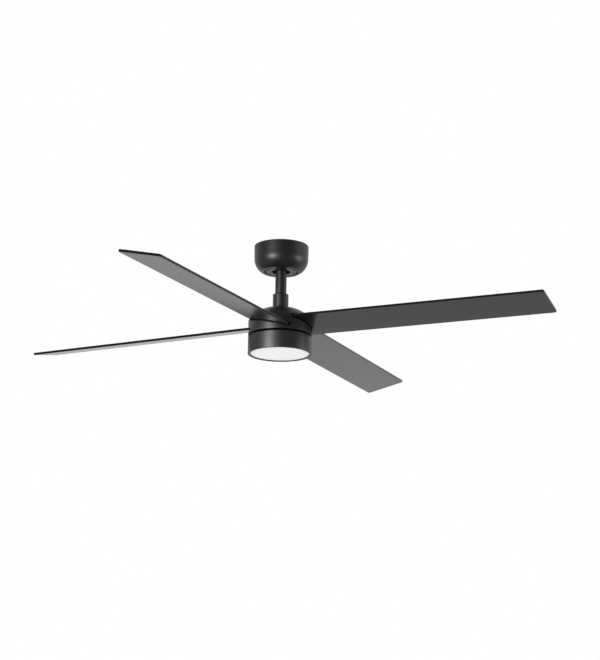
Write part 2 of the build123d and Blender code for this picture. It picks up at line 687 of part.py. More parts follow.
def motor_screws():
    head_r = 3.0
    head = 2.0
    shank_top = UPPER_LUG_Z + LUG_T
    one = tube(head_r, 0, LOWER_LUG_Z - head, LOWER_LUG_Z) + tube(
        MOTOR_SCREW_R, 0, LOWER_LUG_Z, shank_top)
    spots = around(BLADE_COUNT, LUG_AT_R, BLADE_AZIMUTH + 180.0 / BLADE_COUNT)
    return [Pos(x, y, 0) * one for x, y in spots]


def blade_screw_spots():
    """The blade screws' places, with each blade's index."""
    spots = []
    for index in range(BLADE_COUNT):
        turn = radians(blade_azimuth(index))
        for out, aside in BLADE_SCREWS_AT:
            spots.append((index, out * cos(turn) - aside * sin(turn), out * sin(turn) + aside * cos(turn)))
    return spots


def underside_height(index, x, y):
    """The height of a blade's lower face straight above or below a point."""
    axes = blade_plane(blade_azimuth(index))
    foot = axes.from_local_coords((0, 0, -BLADE_THICKNESS / 2))
    normal = axes.z_dir
    return foot.Z - (normal.X * (x - foot.X) + normal.Y * (y - foot.Y)) / normal.Z


def blade_carrier():
    bottom = CARRIER_TOP_Z - CARRIER_PLATE
    plate = tube(CARRIER_R, CARRIER_HOLE_R, bottom, CARRIER_TOP_Z)
    pad_height = 2 * (BLADE_Z - CARRIER_TOP_Z)
    for index in range(BLADE_COUNT):
        turn = blade_azimuth(index)
        block = Pos(SEAT_PAD_START, 0, bottom) * Box(
            SEAT_PAD_R, 2 * SEAT_PAD_HALF, pad_height, align=(Align.MIN, Align.CENTER, Align.MIN))
        block &= tube(SEAT_PAD_R, 0, bottom, bottom + pad_height)
        axes = blade_plane(turn)
        under_blade = axes.from_local_coords((0, 0, -BLADE_THICKNESS / 2))
        face = Plane(origin=under_blade, x_dir=axes.x_dir, z_dir=axes.z_dir)
        plate += split(Rot(0, 0, turn) * block, bisect_by=face, keep=Keep.BOTTOM)
    hole = tube(SCREW_R + FIT_GAP, 0, bottom - CUT_PAST, bottom + FAR)
    for x, y in around(BLADE_COUNT, CARRIER_SCREW_AT_R, BLADE_AZIMUTH):
        plate -= Pos(x, y, 0) * hole
    for index, x, y in blade_screw_spots():
        plate -= Pos(x, y, 0) * hole
    return plate


def carrier_screws():
    head_z = CARRIER_TOP_Z - CARRIER_PLATE
    spots = around(BLADE_COUNT, CARRIER_SCREW_AT_R, BLADE_AZIMUTH)
    return [screw(x, y, head_z, CARRIER_TOP_Z + CARRIER_SCREW_BITE) for x, y in spots]


def blade(index):
    axes = blade_plane(blade_azimuth(index))
    length = BLADE_TIP - BLADE_ROOT
    board = Pos(BLADE_ROOT, 0, 0) * Box(length, BLADE_CHORD, BLADE_THICKNESS,
                                        align=(Align.MIN, Align.CENTER, Align.CENTER))
    tip_corners = board.edges().filter_by(Axis.Z).group_by(Axis.X)[-1]
    board = fillet(tip_corners, BLADE_CORNER_R)
    rims = board.faces().sort_by(Axis.Z)
    board = fillet([*rims[0].edges(), *rims[-1].edges()], BLADE_EDGE_R)
    board = axes * board
    for spot_index, x, y in blade_screw_spots():
        if spot_index == index:
            board -= Pos(x, y, 0) * tube(SCREW_R + FIT_GAP, 0, BLADE_Z - FAR, BLADE_Z + FAR)
    return board


def blade_screws():
    head_z = CARRIER_TOP_Z - CARRIER_PLATE
    screws = []
    for index, x, y in blade_screw_spots():
        tip_z = underside_height(index, x, y) + BLADE_SCREW_BITE
        screws.append(screw(x, y, head_z, tip_z))
    return screws


# Light


def light_housing():
    inner = LIGHT_R - LIGHT_SHEET
    top_in = LIGHT_TOP_Z - LIGHT_SHEET
    rim_top = LIGHT_BOTTOM_Z + RIM_HEIGHT
    drum = closed((SHAFT_THREAD_R + FIT_GAP, LIGHT_TOP_Z), (LIGHT_R - EDGE_BEVEL, LIGHT_TOP_Z),
                  (LIGHT_R, LIGHT_TOP_Z - EDGE_BEVEL), (LIGHT_R, LIGHT_BOTTOM_Z + EDGE_BEVEL),
                  (LIGHT_R - EDGE_BEVEL, LIGHT_BOTTOM_Z), (RIM_IN_R + EDGE_BEVEL, LIGHT_BOTTOM_Z),
                  (RIM_IN_R, LIGHT_BOTTOM_Z + EDGE_BEVEL), (RIM_IN_R, rim_top), (inner, rim_top),
                  (inner, top_in), (SHAFT_THREAD_R + FIT_GAP, top_in))
    # Pegs on the inner wall, which the diffuser's slots hook over
    peg = across_x(PEG_R, PEG_TIP_R, inner + LIGHT_SHEET / 2, PEG_Z)
    for k in range(PEG_COUNT):
        drum += Rot(0, 0, k * 360.0 / PEG_COUNT) * peg
    return drum


def clamp_washer():
    top = LIGHT_TOP_Z - LIGHT_SHEET
    return tube(WASHER_R, SHAFT_THREAD_R + FIT_GAP, top - WASHER_T, top)


def shaft_nut():
    top = LIGHT_TOP_Z - LIGHT_SHEET - WASHER_T
    hexagon = extrude(RegularPolygon(NUT_ACROSS_FLATS / 2, 6, major_radius=False), NUT_HEIGHT)
    return Pos(0, 0, top - NUT_HEIGHT) * (hexagon - Cylinder(SHAFT_THREAD_R, 4 * NUT_HEIGHT))


def led_driver():
    top = LIGHT_TOP_Z - LIGHT_SHEET
    box = Box(*DRIVER_SIZE, align=(Align.CENTER, Align.CENTER, Align.MAX))
    box = fillet(box.edges().filter_by(Axis.Z), DRIVER_CORNER_R)
    return Pos(0, DRIVER_Y, top) * box


def standoff_spots():
    turns = [radians(azimuth) for azimuth in STANDOFF_AZIMUTHS]
    return [(STANDOFF_AT_R * cos(turn), STANDOFF_AT_R * sin(turn)) for turn in turns]


def tray_standoffs():
    post = tube(STANDOFF_R, 0, TRAY_TOP_Z, LIGHT_TOP_Z - LIGHT_SHEET)
    post -= tube(SCREW_R + FIT_GAP, 0, TRAY_TOP_Z, TRAY_TOP_Z + STANDOFF_HOLE)
    return [Pos(x, y, 0) * post for x, y in standoff_spots()]


def led_tray():
    tray = tube(TRAY_R, TRAY_HOLE_R, TRAY_TOP_Z - TRAY_T, TRAY_TOP_Z)
    hole = tube(SCREW_R + FIT_GAP, 0, TRAY_TOP_Z - TRAY_T - CUT_PAST, TRAY_TOP_Z + CUT_PAST)
    for x, y in standoff_spots():
        tray -= Pos(x, y, 0) * hole
    return tray


def tray_screws():
    head_z = TRAY_TOP_Z - TRAY_T
    return [screw(x, y, head_z, TRAY_TOP_Z + TRAY_SCREW_BITE) for x, y in standoff_spots()]


def led_board():
    top = TRAY_TOP_Z - TRAY_T
    return tube(BOARD_R, TRAY_HOLE_R, top - BOARD_T, top)


def led_chips():
    top = TRAY_TOP_Z - TRAY_T - BOARD_T
    chip = Box(*CHIP_SIZE, align=(Align.CENTER, Align.CENTER, Align.MAX))
    chips = []
    for radius, count in CHIP_RINGS:
        for k in range(count):
            chips.append(Pos(0, 0, top) * Rot(0, 0, k * 360.0 / count) * Pos(radius, 0, 0) * chip)
    return chips


def bayonet_slot():
    """A cutter for one L-shaped slot in the diffuser's skirt: the twist's run and its way in from the top."""
    low = PEG_Z - PEG_R - PEG_GAP
    high = PEG_Z + PEG_R + PEG_GAP
    half = degrees((PEG_R + PEG_GAP) / SKIRT_R)
    inner = SKIRT_R - SKIRT_WALL - CUT_PAST
    outer = SKIRT_R + CUT_PAST
    run = sector(inner, outer, low, high, TWIST / 2, TWIST + 2 * half)
    return run + sector(inner, outer, low, SKIRT_TOP_Z + CUT_PAST, TWIST, 2 * half)


def diffuser():
    top = DIFFUSER_FACE_Z + DIFFUSER_FACE_T
    skirt_in = SKIRT_R - SKIRT_WALL
    cup = closed((0, DIFFUSER_FACE_Z), (DIFFUSER_R - DIFFUSER_BEVEL, DIFFUSER_FACE_Z),
                 (DIFFUSER_R, DIFFUSER_FACE_Z + DIFFUSER_BEVEL), (DIFFUSER_R, top), (SKIRT_R, top),
                 (SKIRT_R, SKIRT_TOP_Z), (skirt_in, SKIRT_TOP_Z), (skirt_in, top), (0, top))
    for k in range(PEG_COUNT):
        cup -= Rot(0, 0, k * 360.0 / PEG_COUNT) * bayonet_slot()
    return cup


PIECES = {
    "hanger_bracket": hanger_bracket(),
    "canopy": canopy(),
    "canopy_ring": canopy_ring(),
    "canopy_screws": canopy_screws(),
    "receiver_box": receiver_box(),
    "terminal_block": terminal_block(),
    "hanger_ball": hanger_ball(),
    "ball_cross_pin": ball_cross_pin(),
    "ball_set_screw": ball_set_screw(),
    "downrod": downrod(),
    "coupling_cover": coupling_cover(),
    "motor_coupling": motor_coupling(),
    "clevis_pin": clevis_pin(),
    "split_pin": split_pin(),
    "coupling_set_screws": coupling_set_screws(),
    "motor_shaft": motor_shaft(),
    "shaft_circlip": shaft_circlip(),
    "stator_core": stator_core(),
    "stator_windings": stator_windings(),
    "upper_bearing_inner": bearing_inner(UPPER_BEARING_Z),
    "lower_bearing_inner": bearing_inner(LOWER_BEARING_Z),
    "upper_bearing_outer": bearing_outer(UPPER_BEARING_Z),
    "lower_bearing_outer": bearing_outer(LOWER_BEARING_Z),
    "rotor_housing": rotor_housing(),
    "housing_nut": housing_nut(),
    "motor_upper_bell": motor_upper_bell(),
    "motor_lower_bell": motor_lower_bell(),
    "rotor_ring": rotor_ring(),
    "rotor_magnets": rotor_magnets(),
    "motor_screws": motor_screws(),
    "blade_carrier": blade_carrier(),
    "carrier_screws": carrier_screws(),
    "blade_screws": blade_screws(),
    "light_housing": light_housing(),
    "clamp_washer": clamp_washer(),
    "shaft_nut": shaft_nut(),
    "led_driver": led_driver(),
    "tray_standoffs": tray_standoffs(),
    "led_tray": led_tray(),
    "tray_screws": tray_screws(),
    "led_board": led_board(),
    "led_chips": led_chips(),
    "diffuser": diffuser(),
}
for number in range(BLADE_COUNT):
    PIECES[f"blade_{number + 1}"] = blade(number)

os.makedirs("parts", exist_ok=True)
for name, shape in PIECES.items():
    if isinstance(shape, list):
        shape = Compound(children=[solid for piece in shape for solid in piece.solids()])
    export_step(shape, os.path.join("parts", f"{name}.step"))
    print(name, "solids", len(shape.solids()))
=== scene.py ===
# %% [markdown]
# # A ceiling fan with a light, from its CAD frame
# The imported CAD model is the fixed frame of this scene. Its solids sit where they belong, in metres: the
# ceiling is the plane z = 0 and the fan hangs below it on the vertical axis. The lesson rebuilds the
# pieces that show with softer edges and finer curves, gives every hidden piece a real finish, and lights
# the whole as in a studio. Sizes are read from the frame where a box can give them, and named in
# millimetres elsewhere.

# %% Load the frame
from math import asin, atan2, cos, degrees, pi, radians, sin, sqrt

import bmesh
import bpy
from mathutils import Matrix, Vector


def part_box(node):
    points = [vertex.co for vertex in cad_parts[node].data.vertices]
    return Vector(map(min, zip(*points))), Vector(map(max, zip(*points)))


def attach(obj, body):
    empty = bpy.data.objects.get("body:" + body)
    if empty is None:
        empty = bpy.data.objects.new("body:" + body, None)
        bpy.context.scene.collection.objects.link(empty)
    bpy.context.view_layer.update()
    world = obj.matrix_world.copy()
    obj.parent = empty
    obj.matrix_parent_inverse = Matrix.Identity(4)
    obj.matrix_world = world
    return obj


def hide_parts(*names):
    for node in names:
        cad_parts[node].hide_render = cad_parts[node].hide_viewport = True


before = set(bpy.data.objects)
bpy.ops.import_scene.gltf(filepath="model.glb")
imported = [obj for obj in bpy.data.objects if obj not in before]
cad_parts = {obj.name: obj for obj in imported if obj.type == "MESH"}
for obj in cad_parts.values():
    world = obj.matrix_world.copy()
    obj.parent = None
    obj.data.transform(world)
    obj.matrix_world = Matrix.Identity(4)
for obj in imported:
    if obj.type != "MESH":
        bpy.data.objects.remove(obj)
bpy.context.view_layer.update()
MM = 0.001

# %% [markdown]
# ## Shader maths as Python
# A finish is a small sum: a noise here, a mix there. Wiring each Math node by hand hides that sum, so one
# class wraps a socket and lets the Python operators add the nodes. Any other node comes from its one
# method, which sets the node's own settings before it fills the sockets.


# %% A socket that can be added and multiplied
def set_stops(ramp, stops):
    """Give a colour ramp its grey stops: places from 0 to 1 in rising order, and a value for each."""
    while len(ramp.elements) < len(stops):
        ramp.elements.new(1.0)
    for element, (place, value) in zip(ramp.elements, stops):
        element.position = place
        element.color = (value, value, value, 1.0)


class Socket:
    """An output of a node tree. Arithmetic on it adds Math nodes to the same tree."""

    def __init__(self, tree, output=None):
        self.tree = tree
        self.output = output

    def node(self, kind, settings=None, inputs=None, output=0):
        """Add a node: first its settings, then the values or links of its sockets."""
        made = self.tree.nodes.new(kind)
        for name, value in (settings or {}).items():
            if name == "stops":
                set_stops(made.color_ramp, value)
            else:
                setattr(made, name, value)
        for name, value in (inputs or {}).items():
            if isinstance(value, Socket):
                self.tree.links.new(value.output, made.inputs[name])
            else:
                made.inputs[name].default_value = value
        return Socket(self.tree, made.outputs[output])

    def maths(self, operation, first, second):
        return self.node("ShaderNodeMath", {"operation": operation}, {0: first, 1: second})

    def __add__(self, other):
        return self.maths("ADD", self, other)

    __radd__ = __add__

    def __sub__(self, other):
        return self.maths("SUBTRACT", self, other)

    def __rsub__(self, other):
        return self.maths("SUBTRACT", other, self)

    def __mul__(self, other):
        return self.maths("MULTIPLY", self, other)

    __rmul__ = __mul__

    def __gt__(self, other):
        return self.maths("GREATER_THAN", self, other)

    def blend(self, dark, light):
        """A colour that goes from one to the other as this value goes from 0 to 1."""
        factor, first_colour, second_colour, mixed_colour = 0, 6, 7, 2
        return self.node("ShaderNodeMix", {"data_type": "RGBA"}, {
            factor: self, first_colour: (*dark, 1.0), second_colour: (*light, 1.0)}, mixed_colour)


print("shader maths ready")

# %% [markdown]
# ## The camera
# The camera stands about four metres in front of the fan and well below it, tilted up, so the blades show
# their undersides. Set by eye, it would never bring all four blades to their places at once, so it was
# fitted to their corners. Its turn, tilt and roll are plain angles in radians. The focal length was found
# in picture heights, which makes it independent of the picture's size.

# %% Place the camera
CAMERA_AT = Vector((0.0, -3.8252, -1.2022))
CAMERA_YAW = 0.0122
CAMERA_PITCH = 0.2555
CAMERA_ROLL = 0.0144
FOCAL_IN_PICTURE_HEIGHTS = 2.5509
SENSOR_MM = 36.0


def camera_axes():
    """The camera's right, up and back directions as a rotation."""
    forward = cos(CAMERA_PITCH)
    ahead = Vector((sin(CAMERA_YAW) * forward, cos(CAMERA_YAW) * forward, sin(CAMERA_PITCH)))
    level = Vector((cos(CAMERA_YAW), -sin(CAMERA_YAW), 0.0))
    upright = level.cross(ahead)
    right = level * cos(CAMERA_ROLL) + upright * sin(CAMERA_ROLL)
    up = upright * cos(CAMERA_ROLL) - level * sin(CAMERA_ROLL)
    return Matrix((right, up, -ahead)).transposed()


camera = bpy.data.objects.new("camera", bpy.data.cameras.new("camera"))
camera.data.sensor_width = SENSOR_MM
camera.data.lens = FOCAL_IN_PICTURE_HEIGHTS * SENSOR_MM
camera.matrix_world = Matrix.Translation(CAMERA_AT) @ camera_axes().to_4x4()
bpy.context.collection.objects.link(camera)
bpy.context.scene.camera = camera
print("lens", round(camera.data.lens, 1), "mm")

# %% [markdown]
# ## The studio
# Satin black shows mostly what it mirrors. The undersides of the blades mirror a pale backdrop behind the
# fan at flat angles, each blade at another height, so the backdrop's light by height sets their greys.
# The room on the camera's side is darker and keeps the upright walls black. Walls and lamps could give
# both, but the world does it with less noise, in one smooth change from front to back. The camera sees it
# as plain white.

# %% Backdrop and room
# Each pair is a height, from -1 straight down to 1 straight up, and the backdrop's light there.
BACKDROP_LIGHT = (
    (-0.60, 1.37), (-0.35, 0.96), (-0.15, 0.95), (-0.02, 0.54), (0.12, 1.17), (0.30, 0.80), (0.60, 1.09))
# The ramp's stops are shares of this.
BRIGHTEST = 2.0
ROOM_LIGHT = 0.24
ROOM_ENDS = -0.41
BACKDROP_STARTS = 0.84

scene = bpy.context.scene
scene.view_settings.view_transform = "Standard"
world = bpy.data.worlds.new("studio")
scene.world = world
world.use_nodes = True
sky = Socket(world.node_tree)
direction = sky.node("ShaderNodeTexCoord", output="Generated")
rise = sky.node("ShaderNodeSeparateXYZ", inputs={0: direction}, output="Z")
behind = sky.node("ShaderNodeSeparateXYZ", inputs={0: direction}, output="Y")
light_stops = [(0.5 + 0.5 * height, light / BRIGHTEST) for height, light in BACKDROP_LIGHT]
wall = BRIGHTEST * sky.node("ShaderNodeValToRGB", {"stops": light_stops}, {0: 0.5 + 0.5 * rise})
surround = sky.node("ShaderNodeMapRange", {"interpolation_type": "SMOOTHSTEP"}, {
    "Value": behind, "From Min": ROOM_ENDS, "From Max": BACKDROP_STARTS,
    "To Min": ROOM_LIGHT, "To Max": wall})
seen = sky.node("ShaderNodeLightPath", output="Is Camera Ray")
strength = seen + (1 - seen) * surround
backdrop = world.node_tree.nodes["Background"]
backdrop.inputs["Color"].default_value = (1.0, 1.0, 1.0, 1.0)
world.node_tree.links.new(strength.output, backdrop.inputs["Strength"])
print("world nodes:", len(world.node_tree.nodes))

# %% [markdown]
# Two soft lights draw the upright bands on the drum and the soft spots on the canopy. Small lamps would
# make hard white dots there, so both are broad area lights. The one at the front left has a honeycomb
# grid, which keeps its beam near the hub. Lengths are in metres here, and the beam is the light's whole
# angle in degrees.

# %% Soft lights
def soft_light(name, azimuth, distance, level, width, tall, watts, beam):
    """A rectangular light that faces the axis, at an angle in degrees to the right of the front."""
    lamp = bpy.data.lights.new(name, "AREA")
    lamp.shape = "RECTANGLE"
    lamp.size = width
    lamp.size_y = tall
    lamp.energy = watts
    lamp.spread = radians(beam)
    holder = bpy.data.objects.new(name, lamp)
    inward = Vector((-sin(radians(azimuth)), cos(radians(azimuth)), 0.0))
    place = Vector((0.0, 0.0, level)) - inward * distance
    holder.matrix_world = Matrix.Translation(place) @ inward.to_track_quat("-Z", "Y").to_matrix().to_4x4()
    holder.visible_camera = False
    bpy.context.collection.objects.link(holder)
    return holder


COOL_WHITE = (0.95, 0.98, 1.0)
left_light = soft_light("front_left_softbox", azimuth=-38.0, distance=1.37, level=-0.33,
                        width=0.45, tall=0.45, watts=2.2, beam=38.0)
left_light.data.color = COOL_WHITE
right_light = soft_light("right_softbox", azimuth=80.0, distance=2.14, level=-0.31,
                         width=0.87, tall=0.81, watts=10.0, beam=131.0)

# %% [markdown]
# A pale painted floor lies a room's height below the ceiling. It lights the fan from underneath, and a
# weak glow of its own does that more evenly than a lamp. It ends a little way in front of the fan,
# because more of it there would grey the drum.

# %% Floor
FLOOR_Z = -2.6
FLOOR_HALF = 2.7
FLOOR_FRONT_Y = -1.5
FLOOR_GLOW = 0.16
FLOOR_ROUGHNESS = 0.8
CLOUDS_PER_METRE = 0.8
FLOOR_DARK = (0.80, 0.80, 0.80)
FLOOR_LIGHT = (0.86, 0.86, 0.86)

floor_shape = bmesh.new()
bmesh.ops.create_grid(floor_shape, x_segments=1, y_segments=1, size=FLOOR_HALF,
                      matrix=Matrix.Translation((0.0, FLOOR_FRONT_Y + FLOOR_HALF, FLOOR_Z)))
floor_mesh = bpy.data.meshes.new("floor")
floor_shape.to_mesh(floor_mesh)
floor_shape.free()
floor = bpy.data.objects.new("floor", floor_mesh)
bpy.context.collection.objects.link(floor)
floor_paint = bpy.data.materials.new("floor_paint")
floor_paint.use_nodes = True
paint = Socket(floor_paint.node_tree)
floor_shader = floor_paint.node_tree.nodes["Principled BSDF"]
floor_shader.inputs["Roughness"].default_value = FLOOR_ROUGHNESS
floor_shader.inputs["Emission Color"].default_value = (1.0, 1.0, 1.0, 1.0)
floor_shader.inputs["Emission Strength"].default_value = FLOOR_GLOW
cloud = paint.node("ShaderNodeTexNoise", inputs={"Scale": CLOUDS_PER_METRE, "Detail": 2.0})
floor_tone = cloud.blend(FLOOR_DARK, FLOOR_LIGHT)
floor_paint.node_tree.links.new(floor_tone.output, floor_shader.inputs["Base Color"])
floor_mesh.materials.append(floor_paint)
print("floor", 2 * FLOOR_HALF, "m wide")

# %% [markdown]
# ## Finishes
# Every finish starts from a Principled shader and Object coordinates, which are metres on every piece.
# The helper below makes the shader, sets the numbers that are the same all over, and links what changes
# over the surface. A bump is a height in millimetres, so a fine grain stays fine on a large piece.

# %% Helpers for finishes
class Finish:
    """A material built on the Principled shader."""

    def __init__(self, name, **constants):
        self.material = bpy.data.materials.new(name)
        self.material.use_nodes = True
        self.tree = self.material.node_tree
        self.shader = self.tree.nodes["Principled BSDF"]
        self.sockets = Socket(self.tree)
        self.place = self.sockets.node("ShaderNodeTexCoord", output="Object")
        for label, value in constants.items():
            self.shader.inputs[label.replace("_", " ")].default_value = value

    def noise(self, feature_mm, detail=2.0):
        """Soft random cells about that many millimetres across, from 0 to 1."""
        return self.sockets.node("ShaderNodeTexNoise", inputs={
            "Vector": self.place, "Scale": 1 / (feature_mm * MM), "Detail": detail})

    def colour(self, socket):
        self.tree.links.new(socket.output, self.shader.inputs["Base Color"])

    def roughness(self, socket):
        self.tree.links.new(socket.output, self.shader.inputs["Roughness"])

    def bump(self, height, depth_mm):
        raised = self.sockets.node("ShaderNodeBump", inputs={
            "Height": height, "Distance": depth_mm * MM, "Strength": 1.0})
        self.tree.links.new(raised.output, self.shader.inputs["Normal"])


print("finish helper ready")

# %% [markdown]
# ### Satin black coat
# The canopy, rod, housing and light drum are powder coated: a deep grey-black with a satin sheen and a
# skin like fine orange peel. The colour hardly changes, so the grain and a slow drift of the sheen do the
# work.

# %% Black coat for the metal
COAT_DARK = (0.0024, 0.0025, 0.0027)
COAT_LIGHT = (0.0036, 0.0037, 0.0039)
COAT_ROUGHNESS = 0.38

metal_coat = Finish("satin_black_coat", Metallic=0.0)
coat_drift = metal_coat.noise(feature_mm=35.0)
coat_grain = metal_coat.noise(feature_mm=0.9)
metal_coat.colour(coat_drift.blend(COAT_DARK, COAT_LIGHT))
metal_coat.roughness(COAT_ROUGHNESS + 0.06 * coat_drift + 0.04 * coat_grain)
metal_coat.bump(coat_grain, depth_mm=0.005)
print(metal_coat.material.name)

# %% [markdown]
# ### Blade lacquer
# The blades are boards with a satin lacquer, a little greyer and smoother than the metal. It covers
# whatever grain the board has, so a wood texture would be wrong here: all that shows is a wide, shallow
# orange peel.

# %% Lacquer for the blades
LACQUER_DARK = (0.0078, 0.0078, 0.0078)
LACQUER_LIGHT = (0.0100, 0.0100, 0.0099)
LACQUER_ROUGHNESS = 0.195

blade_coat = Finish("satin_black_lacquer", Metallic=0.0)
lacquer_drift = blade_coat.noise(feature_mm=60.0)
lacquer_peel = blade_coat.noise(feature_mm=2.2, detail=3.0)
blade_coat.colour(lacquer_drift.blend(LACQUER_DARK, LACQUER_LIGHT))
blade_coat.roughness(LACQUER_ROUGHNESS + 0.04 * lacquer_drift + 0.03 * lacquer_peel)
blade_coat.bump(lacquer_peel, depth_mm=0.004)
print(blade_coat.material.name)

# %% [markdown]
# ### Opal cover
# The cover of the light is opal acrylic: white, matt, with light spreading inside it. It reads as an even
# white plate from below. A lamp behind it could leave noise and a bright middle, so a weak glow of its
# own stands for the light that the opal scatters.

# %% Opal for the diffuser
OPAL_DARK = (0.84, 0.84, 0.835)
OPAL_LIGHT = (0.87, 0.87, 0.865)

opal = Finish("opal_acrylic", Roughness=0.42, Subsurface_Weight=0.15, Emission_Strength=0.24)
opal.shader.inputs["Subsurface Radius"].default_value = (0.004, 0.004, 0.0038)
opal.shader.inputs["Emission Color"].default_value = (1.0, 1.0, 1.0, 1.0)
opal_drift = opal.noise(feature_mm=25.0)
opal.colour(opal_drift.blend(OPAL_DARK, OPAL_LIGHT))
opal.bump(opal.noise(feature_mm=0.7), depth_mm=0.006)
print(opal.material.name)

# %% [markdown]
# ### Finishes inside
# The hidden pieces keep their CAD meshes and get the finish of the real thing: zinc-plated steel with its
# spangle, the stacked laminations of the stator, sand-cast aluminium, enamelled copper wire wound in
# turns, moulded plastics, a white circuit board and yellow phosphor on the chips.

# %% Metals inside
SPANGLE_MM = 4.0

zinc = Finish("zinc_plated_steel", Metallic=1.0)
spangle = zinc.sockets.node("ShaderNodeTexVoronoi", output="Color", inputs={
    "Vector": zinc.place, "Scale": 1 / (SPANGLE_MM * MM)})
zinc_tone = zinc.sockets.node("ShaderNodeSeparateColor", inputs={0: spangle})
zinc.colour(zinc_tone.blend((0.50, 0.51, 0.53), (0.60, 0.61, 0.62)))
zinc.roughness(0.28 + 0.12 * zinc_tone)
zinc.bump(zinc.noise(feature_mm=0.5), depth_mm=0.004)

cast = Finish("cast_aluminium", Metallic=1.0)
cast_grain = cast.noise(feature_mm=0.8, detail=4.0)
cast.colour(cast.noise(feature_mm=12.0).blend((0.52, 0.52, 0.53), (0.62, 0.62, 0.63)))
cast.roughness(0.42 + 0.16 * cast_grain)
cast.bump(cast_grain, depth_mm=0.03)

magnet = Finish("sintered_magnet", Metallic=0.9)
magnet_grain = magnet.noise(feature_mm=1.2)
magnet.colour(magnet_grain.blend((0.16, 0.16, 0.165), (0.22, 0.22, 0.225)))
magnet.roughness(0.32 + 0.10 * magnet_grain)
magnet.bump(magnet_grain, depth_mm=0.008)
print("metals:", [finish.material.name for finish in (zinc, cast, magnet)])

# %% [markdown]
# Through the gap over the drum and through the slots one looks straight at the motor. Its two bells have
# a thin dull black paint, so the gap and the slots read as dark lines.

# %% Dull black for the motor's bells
bell_black = Finish("dull_black_bells", Specular_IOR_Level=0.15)
bell_grain = bell_black.noise(feature_mm=0.8, detail=3.0)
bell_black.colour(bell_grain.blend((0.0022, 0.0022, 0.0023), (0.0038, 0.0038, 0.0040)))
bell_black.roughness(0.70 + 0.15 * bell_grain)
bell_black.bump(bell_grain, depth_mm=0.03)
print("bells:", bell_black.material.name)

# %% [markdown]
# The stator's core is a stack of thin steel sheets, and its coils are wound copper wire. Real sheets and
# turns would need thousands of faces, so ridges at an even pitch stand for both: by height for the
# sheets, and by the distance from the axis for the wire.

# %% Laminations and windings
SHEET_MM = 0.5
WIRE_MM = 0.8
LEVEL = (1.0, 1.0, 0.0)


def ridges(finish, distance, pitch_mm):
    """Round ridges along a distance in metres, from 0 to 1, at an even pitch."""
    phase = distance * (2 * pi / (pitch_mm * MM))
    return 0.5 + 0.5 * finish.sockets.node("ShaderNodeMath", {"operation": "SINE"}, {0: phase})


laminated = Finish("laminated_steel", Metallic=1.0)
height = laminated.sockets.node("ShaderNodeSeparateXYZ", inputs={0: laminated.place}, output="Z")
sheets = ridges(laminated, height, SHEET_MM)
laminated.colour(sheets.blend((0.20, 0.20, 0.21), (0.42, 0.42, 0.43)))
laminated.roughness(0.45 - 0.1 * sheets)
laminated.bump(sheets, depth_mm=0.05)

copper = Finish("enamelled_copper_wire", Metallic=1.0)
flat = copper.sockets.node("ShaderNodeVectorMath", {"operation": "MULTIPLY"}, {0: copper.place, 1: LEVEL})
reach = copper.sockets.node("ShaderNodeVectorMath", {"operation": "LENGTH"}, {0: flat}, "Value")
turns = ridges(copper, reach, WIRE_MM)
copper.colour(turns.blend((0.30, 0.09, 0.03), (0.70, 0.27, 0.11)))
copper.roughness(0.40 - 0.12 * turns)
copper.bump(turns, depth_mm=0.25)
print("wound and stacked:", laminated.material.name, copper.material.name)

# %% [markdown]
# The moulded plastics and the phosphor share one recipe, a fine grain from the mould. The circuit board
# has areas of copper under its white mask. Voronoi cells draw them, a little raised, with a narrow darker
# gap between each and the next.

# %% Plastics, board and chips
TRACK_PITCH_MM = 14.0
TRACK_GAP = 0.04


def moulded(name, dark, light, roughness):
    """A moulded plastic with a fine spark-eroded grain."""
    plastic = Finish(name)
    grain = plastic.noise(feature_mm=0.6, detail=3.0)
    plastic.colour(grain.blend(dark, light))
    plastic.roughness(roughness + 0.08 * grain)
    plastic.bump(grain, depth_mm=0.015)
    return plastic


black_plastic = moulded("black_moulded_plastic", (0.010, 0.010, 0.010), (0.016, 0.016, 0.016), 0.42)
white_plastic = moulded("white_moulded_plastic", (0.74, 0.74, 0.72), (0.80, 0.80, 0.78), 0.38)
phosphor = moulded("yellow_phosphor", (0.78, 0.52, 0.05), (0.90, 0.66, 0.10), 0.55)

board = Finish("white_circuit_board")
strand = board.sockets.node("ShaderNodeTexVoronoi", {"feature": "DISTANCE_TO_EDGE"},
                            {"Vector": board.place, "Scale": 1 / (TRACK_PITCH_MM * MM)}, "Distance")
track = strand > TRACK_GAP
board.colour(track.blend((0.60, 0.62, 0.60), (0.82, 0.83, 0.81)))
board.roughness(0.34 + 0.05 * track)
board.bump(track, depth_mm=0.03)
print("plastics and board:", [finish.material.name for finish in (black_plastic, white_plastic, board)])

# %% [markdown]
# Each CAD node comes with a material that is named after its slot in the record, so one table from slots
# to finishes dresses them all. Of the black metal nodes only the motor's bells are kept, so this slot
# gets their dull black. New pieces replace the others below.

# %% Give every CAD node its finish
FINISHES = {
    "black_metal": bell_black, "black_blade": blade_coat, "opal": opal, "zinc_steel": zinc,
    "laminated_steel": laminated, "cast_aluminium": cast, "magnet": magnet, "copper_wire": copper,
    "black_plastic": black_plastic, "white_plastic": white_plastic, "circuit_board": board,
    "led_yellow": phosphor,
}
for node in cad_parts.values():
    slot_name = node.data.materials[0].name
    node.material_slots[0].material = FINISHES[slot_name].material
print(len(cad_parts), "CAD nodes finished")

# %% [markdown]
# ## Turned pieces
# Nearly everything here is round, so most pieces are a section spun about the axis. A Screw modifier
# could turn them too, but a spun mesh can be bevelled and cut straight away. A pen draws the section with
# two moves: a straight line, made by extruding its last point, and an arc, made by spinning that point.
# The spin about the axis then makes the walls, and a bevel softens the corners that the section left
# sharp.

